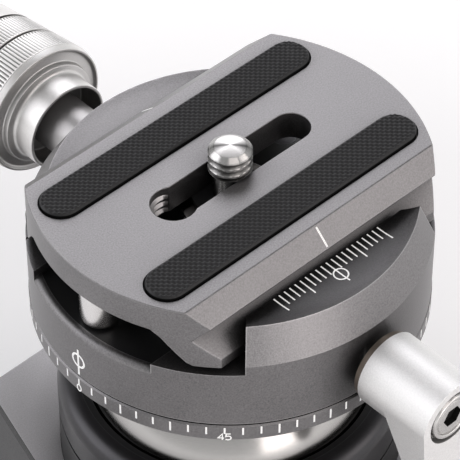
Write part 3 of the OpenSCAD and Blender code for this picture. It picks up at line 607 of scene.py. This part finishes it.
def camera_screw_shape(steps=96, pitch=1.27, depth=0.65):
    thread_low, thread_high = 85.75, 89.0
    major, corner, flat = 3.175, 2.31, 2.0
    rows = 46
    dome = eased([(0.0, 89.98, 0.0), (1.3, 89.9, 0.0), (2.35, 89.66, 0.35), (3.0, 89.1, 0.2),
                  (major, thread_high, 0.0)])
    thread = [(major, thread_high - (thread_high - thread_low) * k / rows) for k in range(1, rows + 1)]
    shank = eased([(2.4, thread_low, 0.0), (2.4, 80.2, 0.0), (7.5, 80.2, 0.3), (7.5, 77.6, 0.4),
                   (corner, 77.6, 0.0)])
    profile = dome + thread + shank + [(corner, 79.4), (0.0, 79.4)]
    first, last = len(dome), len(dome) + len(thread) - 1
    hexed = (len(profile) - 3, len(profile) - 2)

    def reach(k, j):
        turn = j / steps
        if first <= k <= last:
            height = profile[k][1]
            phase = (height / pitch - turn) % 1.0
            crest = min(max(1.7 * abs(2 * phase - 1) - 0.5, 0.0), 1.0)
            ends = min((height - thread_low) / 0.15, (thread_high - height) / 0.4, 1.0)
            return -depth * crest * max(ends, 0.0)
        if k in hexed:
            return flat / math.cos(math.radians((turn * 360.0) % 60.0 - 30.0)) - corner
        return 0.0
    return turned(profile, steps, about_z(), reach=reach)


make_piece("camera_screw_threaded", camera_screw_shape(), TURNED_CHROME, "camera_screw",
           "camera_screw", 28.0)


# Thread in the keyhole of the plate

def keyhole_thread_shape(turns=3, pitch=1.25, open_angle=62.0, bits=40):
    """Ridges round the closed side of the keyhole, each one a closed wedge that climbs as it turns."""
    shapes = []
    for turn in range(turns):
        points, faces = [], []
        for k in range(bits + 1):
            share = k / bits
            a = math.radians(open_angle + (360.0 - 2 * open_angle) * share)
            rise = DECK_LOW + 0.55 + pitch * (turn + share * (1 - open_angle / 180.0))
            fade = min(share / 0.08, (1 - share) / 0.08, 1.0)
            tip = KEYHOLE_R - 0.05 - 0.4 * fade
            for radius, z in ((KEYHOLE_R + 0.02, rise - 0.45), (tip, rise - 0.06), (tip, rise + 0.06),
                              (KEYHOLE_R + 0.02, rise + 0.45)):
                points.append((KEYHOLE_X + radius * math.cos(a), radius * math.sin(a), z))
        for k in range(bits):
            for m in range(4):
                n = (m + 1) % 4
                faces.append((4 * k + m, 4 * k + n, 4 * k + 4 + n, 4 * k + 4 + m))
        faces.append((0, 1, 2, 3))
        faces.append(tuple(4 * bits + m for m in (3, 2, 1, 0)))
        shapes.append((points, faces))
    return join(shapes)


make_piece("keyhole_thread", keyhole_thread_shape(), BLASTED_STEEL, "plate")


# Clamp knob with straight knurling

TOOTH_CUT = (0.0, 0.25, 1.0, 0.25)


def knurled(profile, teeth, place, bands, depth, low_r):
    """A turned ring with straight teeth cut over the given bands of its outer face."""
    steps = len(TOOTH_CUT)

    def reach(k, j):
        radius, distance = profile[k]
        if radius > low_r and any(a - 1e-6 <= distance <= b + 1e-6 for a, b in bands):
            return -depth * TOOTH_CUT[j % steps]
        return 0.0
    return turned(profile, teeth * steps, place, True, reach)


def clamp_knob_shape():
    def taper(y):
        return 10.9 - 1.9 * (y - 41.8) / 18.8
    front = eased([
        (4.42, 40.2, 0.0), (6.7, 40.2, 0.3), (6.7, 35.6, 0.15), (7.2, 35.6, 0.2), (7.2, 39.55, 1.3),
        (8.35, 39.85, 0.18), (8.5, 40.75, 0.3), (9.95, 41.1, 0.5), (10.3, 40.7, 0.12), (10.62, 40.7, 0.18),
        (10.86, 41.75, 0.0)], 5)
    bands = [(42.1, 46.75), (47.85, 52.55)]
    grip = []
    for low, high in bands:
        grip += eased([(taper(low - 0.35) - 0.3, low - 0.35, 0.0), (taper(low - 0.3), low - 0.3, 0.5),
                       (taper(low + 0.1), low + 0.1, 0.0)])
        grip += eased([(taper(high - 0.1), high - 0.1, 0.0), (taper(high + 0.35), high + 0.35, 0.5),
                       (taper(high + 0.4) - 0.55, high + 0.4, 0.0)])
        grip += [(taper(high + 0.75) - 0.55, high + 0.75)]
    tail = eased([(taper(53.35), 53.35, 0.0), (taper(58.2), 58.2, 0.5), (8.0, 59.6, 0.2), (4.42, 59.6, 0.0)])
    return knurled(front + grip + tail, 112, about_y(KNOB_Z), bands, depth=0.26, low_r=8.9)


make_piece("clamp_knob_knurled", clamp_knob_shape(), KNOB_SILVER, "clamp_knob", "clamp_knob", 28.0)


# Lock knobs: ribbed rubber on the main knob, straight knurling on the base knob

def main_grip_shape(ribs=30, bits=8):
    profile = eased([(12.8, 40.5, 0.0), (14.95, 40.5, 0.5), (14.95, 50.5, 0.5), (12.8, 50.5, 0.0)], 5)

    def reach(k, j):
        if profile[k][0] < 13.5:
            return 0.0
        phase = (j % bits) / bits
        return -0.9 * max(math.cos(2 * math.pi * phase), 0.0) ** 0.7
    return turned(profile, ribs * bits, about_minus_x(MAIN_Z), True, reach)


def pan_knob_shape():
    neck = eased([(2.0, 33.5, 0.0), (4.5, 33.5, 0.2), (4.5, 36.5, 0.4), (6.9, 36.5, 0.2), (7.5, 37.2, 0.0)])
    grip = [(7.5, 37.5), (7.5, 43.6), (7.5, 43.9)]
    end = eased([(7.45, 44.0, 0.0), (6.9, 45.5, 0.5), (5.4, 45.5, 0.2), (5.0, 45.1, 0.2), (2.0, 45.1, 0.0)])
    return knurled(neck + grip + end, 96, about_y(PAN_Z, -1), [(37.5, 43.6)], depth=0.28, low_r=7.4)


make_piece("main_knob_grip_ribbed", main_grip_shape(), RUBBER, "main_knob", "main_knob_grip", 50.0)
make_piece("pan_knob_knurled", pan_knob_shape(), SILVER, "base_knob", "pan_knob", 28.0)


# Stop pins with round ends, and the screw head in the lever's recess

PIN = eased([(0.0, PIN_LOW, 0.0), (PIN_R, PIN_LOW, 0.9), (PIN_R, DECK_LOW, 0.0), (0.0, DECK_LOW, 0.0)], 6)
make_piece("stop_pins_rounded", join([turned(PIN, 48, about_z(x)) for x in (-PIN_X, PIN_X)]), PIN_STEEL,
           "plate", "stop_pins")

LEVER_SCREW_STEPS = 96


def lever_screw_shape(steps=LEVER_SCREW_STEPS, flat=1.5):
    """The head in the lever's recess: a raised round rim, a fine groove and a sunk hex socket."""
    corner = flat / math.cos(math.radians(30.0))
    profile = eased([
        (0.0, LEVER_END - 1.05, 0.0), (corner, LEVER_END - 1.05, 0.0), (corner, LEVER_END - 0.1, 0.0),
        (2.75, LEVER_END - 0.1, 0.08), (2.85, LEVER_END - 0.3, 0.05), (3.0, LEVER_END - 0.3, 0.05),
        (3.1, LEVER_END + 0.1, 0.2), (3.6, LEVER_END + 0.1, 0.3), (3.8, LEVER_END - 0.3, 0.1),
        (3.8, LEVER_END - 1.4, 0.0), (0.0, LEVER_END - 1.4, 0.0)])

    def reach(k, j):
        if k in (1, 2):
            return flat / math.cos(math.radians((360.0 * j / steps) % 60.0 - 30.0)) - corner
        return 0.0
    return turned(profile, steps, about_y(LEVER_Z, -1), reach=reach)


# The hex socket's floor and walls take the near-black finish: painted shade in the recess.
make_piece("lever_screw_rimmed", lever_screw_shape(), STEEL, "lever", "lever_screw", 30.0,
           (SOCKET_PAINTED_SHADE, 0, 2 * LEVER_SCREW_STEPS))


# Painted marks

STROKES = {
    "0": [(circle_path(0.32, 0.5, 0.3, 0.5, 20), True)],
    "1": [([(0.15, 0.78), (0.42, 1.0), (0.42, 0.0)], False)],
    "2": [([(0.05, 0.76), (0.14, 0.94), (0.32, 1.0), (0.52, 0.92), (0.58, 0.72), (0.48, 0.5), (0.05, 0.0),
            (0.62, 0.0)], False)],
    "3": [([(0.05, 0.92), (0.3, 1.0), (0.54, 0.88), (0.54, 0.64), (0.3, 0.53), (0.56, 0.42), (0.6, 0.18),
            (0.4, 0.0), (0.18, 0.0), (0.02, 0.12)], False)],
    "4": [([(0.47, 0.0), (0.47, 1.0), (0.02, 0.3), (0.64, 0.3)], False)],
    "5": [([(0.56, 1.0), (0.12, 1.0), (0.06, 0.54), (0.3, 0.64), (0.52, 0.56), (0.61, 0.32), (0.5, 0.08),
            (0.28, 0.0), (0.03, 0.1)], False)],
    "7": [([(0.02, 1.0), (0.6, 1.0), (0.22, 0.0)], False)],
    "8": [(circle_path(0.32, 0.76, 0.24, 0.24, 16), True), (circle_path(0.32, 0.27, 0.29, 0.27, 16), True)],
    "9": [(circle_path(0.32, 0.7, 0.28, 0.3, 16), True),
          ([(0.6, 0.7), (0.56, 0.3), (0.4, 0.06), (0.14, 0.0)], False)],
}
ZERO_ANGLE = 180.0


def number_shapes(text, place, low, tall=1.24, wide=1.36, gap=0.16, stroke=0.2):
    """Strokes of a number, centred on u = 0 and standing on the height low."""
    step = 0.64 * wide + gap
    start = -(step * len(text) - gap) / 2
    shapes = []
    for i, digit in enumerate(text):
        for path, closed in STROKES[digit]:
            spots = [(start + i * step + u * wide, low + v * tall) for u, v in path]
            shapes.append(ribbon(spots, stroke, place, closed))
    return shapes


def ring_tick_shapes():
    top = RING_TOP - 0.27
    shapes = []
    for step in range(72):
        degrees = 5 * step
        length = 1.2 if degrees % 45 == 0 else 1.83 if degrees % 15 == 0 else 1.46
        shapes.append(ribbon([(0.0, top), (0.0, top - length)], 0.26, on_wall(RING_R, ZERO_ANGLE + degrees)))
    return shapes


def ring_number_shapes():
    shapes = []
    for degrees in range(0, 360, 45):
        shapes += number_shapes(str(degrees), on_wall(RING_R, ZERO_ANGLE + degrees), RING_LOW + 0.18)
    return shapes


def index_shapes():
    wall, stroke = on_wall(WALL_R, ZERO_ANGLE), 0.33
    return [ribbon([(0.0, INDEX_LOW), (0.0, INDEX_TOP)], stroke, wall),
            ribbon(circle_path(0.0, 67.5, 1.18, 1.18), stroke, wall, True)]


make_piece("ring_ticks", join(ring_tick_shapes()), PAINT, "ball")
make_piece("ring_numbers", join(ring_number_shapes()), PAINT, "ball")
make_piece("clamp_index", join(index_shapes()), PAINT, "clamp")


def on_front_jaw(u, v, lift):
    """Places (u, v) on the dished top of the front jaw: u runs along X, v out from the middle."""
    out = max(math.hypot(u, v) - DISH_IN_R, 0.0)
    return (u, -v, NOSE_Z + DISH_R - math.sqrt(DISH_R ** 2 - out ** 2) + lift)


def jaw_scale_shapes(middle=0.13, start=19.08, pitch=1.008, stroke=0.22):
    """The millimetre scale, with longer marks each 5 and a ring round the middle one."""
    shapes = []
    for mark in range(-10, 11):
        x = middle + mark * pitch
        length = 4.7 if mark == 0 else 3.1 if mark % 5 == 0 else 2.15
        shapes.append(ribbon(line_path((x, start), (x, start + length)), stroke, on_front_jaw))
    shapes.append(ribbon(circle_path(middle, start + 2.95, 1.05, 1.05), stroke, on_front_jaw, True))
    return shapes


def on_chamfer(side):
    """Places (u, v) on a chamfer of the plate: u runs along X, v down the slope from its upper edge."""
    slope = math.hypot(CHAMFER_RUN, CHAMFER_DROP)
    run, drop = CHAMFER_RUN / slope, CHAMFER_DROP / slope

    def place(u, v, lift):
        return (u, side * (CHAMFER_Y + v * run + lift * drop), PLATE_TOP - v * drop + lift * run)
    return place


make_piece("jaw_scale", join(jaw_scale_shapes()), PAINT, "clamp")
for side, label in SIDES:
    make_piece("plate_index_" + label, ribbon([(0.45, 0.4), (0.45, 3.55)], 0.3, on_chamfer(side)), PAINT,
               "plate")


# Floor, light and world

FLOOR_TONE, FLOOR_REACH = 0.95, 3.0
GLOW_NEAR, GLOW_FAR, GLOW_FROM, GLOW_RISE = 0.10, 0.8, 0.1, 3.6
WORLD_SEEN, WORLD_TOP, WORLD_FILL = 1.0, 0.4, 0.24
WORLD_DIMS_FROM, WORLD_DIMS = 0.25, 2.5
WHITE = (1.0, 1.0, 1.0, 1.0)


def seen_rays(tree):
    """1 for a ray that comes from the camera, a mirror or glass, 0 for one that only carries light."""
    path = tree.nodes.new("ShaderNodeLightPath").outputs
    mirror = maths(tree, "ADD", path["Is Glossy Ray"], path["Is Transmission Ray"])
    return maths(tree, "ADD", path["Is Camera Ray"], mirror, True)


def set_floor():
    """A pale floor, with a glow for seen rays that rises with the distance from the head; the dimmer glow
    near the head is a painted shadow round it.
    """
    mesh = bpy.data.meshes.new("floor")
    corners = [(x * FLOOR_REACH, y * FLOOR_REACH, 0.0) for x, y in ((-1, -1), (1, -1), (1, 1), (-1, 1))]
    mesh.from_pydata(corners, [], [(0, 1, 2, 3)])
    floor = bpy.data.objects.new("floor", mesh)
    bpy.context.collection.objects.link(floor)
    mat = bpy.data.materials.new("pale floor")
    mat.use_nodes = True
    tree = mat.node_tree
    shader = tree.nodes["Principled BSDF"]
    shader.inputs["Base Color"].default_value = (FLOOR_TONE, FLOOR_TONE, FLOOR_TONE, 1.0)
    shader.inputs["Roughness"].default_value = 0.9
    shader.inputs["Specular IOR Level"].default_value = 0.0
    shader.inputs["Emission Color"].default_value = WHITE
    away = tree.nodes.new("ShaderNodeVectorMath")
    away.operation = "LENGTH"
    wire(tree, place_in(tree), away.inputs[0])
    # Glow low near the head and rising away from it: a painted shadow round the head.
    rise = climb(tree, away.outputs["Value"], GLOW_FROM, GLOW_RISE)
    glow = maths(tree, "ADD", times(tree, rise, GLOW_FAR - GLOW_NEAR), GLOW_NEAR)
    wire(tree, times(tree, seen_rays(tree), glow), shader.inputs["Emission Strength"])
    mesh.materials.append(mat)


def set_world():
    """A white surround for seen rays, dimmer overhead, and an even fill for the rest."""
    world = bpy.data.worlds.new("studio")
    world.use_nodes = True
    bpy.context.scene.world = world
    tree = world.node_tree
    ground = tree.nodes["Background"]
    ground.inputs["Color"].default_value = WHITE
    overhead = climb(tree, axis_of(tree, "Generated", "Z"), WORLD_DIMS_FROM, WORLD_DIMS)
    bright = maths(tree, "SUBTRACT", WORLD_SEEN, times(tree, overhead, WORLD_SEEN - WORLD_TOP))
    shown = times(tree, seen_rays(tree), maths(tree, "SUBTRACT", bright, WORLD_FILL))
    wire(tree, maths(tree, "ADD", shown, WORLD_FILL), ground.inputs["Strength"])


# Each light: name, direction, width and height in metres, watts, colour, metres from the head
WARM, COOL = (1.0, 0.93, 0.91), (0.97, 0.96, 1.0)
LAMPS = [("key box", (0.26, 0.33, 0.36), 0.34, 0.34, 1.08, COOL, 0.56),
         ("left box", (-0.7, 0.7, 0.6), 0.7, 0.7, 3.2, COOL, 0.9),
         ("low front box", (-0.08, -1.0, 0.1), 0.55, 0.4, 2.4, WARM, 0.9),
         ("right front box", (0.5, -0.72, 0.52), 0.6, 0.5, 1.8, WARM, 0.9),
         ("high front box", (-0.3, -0.75, 1.0), 0.6, 0.6, 1.3, WARM, 0.9)]
LIT_MIDDLE = Vector((0.0, 0.0, 0.06))


def soft_box(name, way, width, height, power, colour, far):
    """A soft light that faces the middle of the head."""
    data = bpy.data.lights.new(name, "AREA")
    data.shape = "RECTANGLE"
    data.size = width
    data.size_y = height
    data.energy = power
    data.color = colour
    lamp = bpy.data.objects.new(name, data)
    bpy.context.collection.objects.link(lamp)
    lamp.location = LIT_MIDDLE + Vector(way).normalized() * far
    lamp.rotation_euler = (LIT_MIDDLE - lamp.location).to_track_quat("-Z", "Y").to_euler()


set_floor()
set_world()
for lamp in LAMPS:
    soft_box(*lamp)
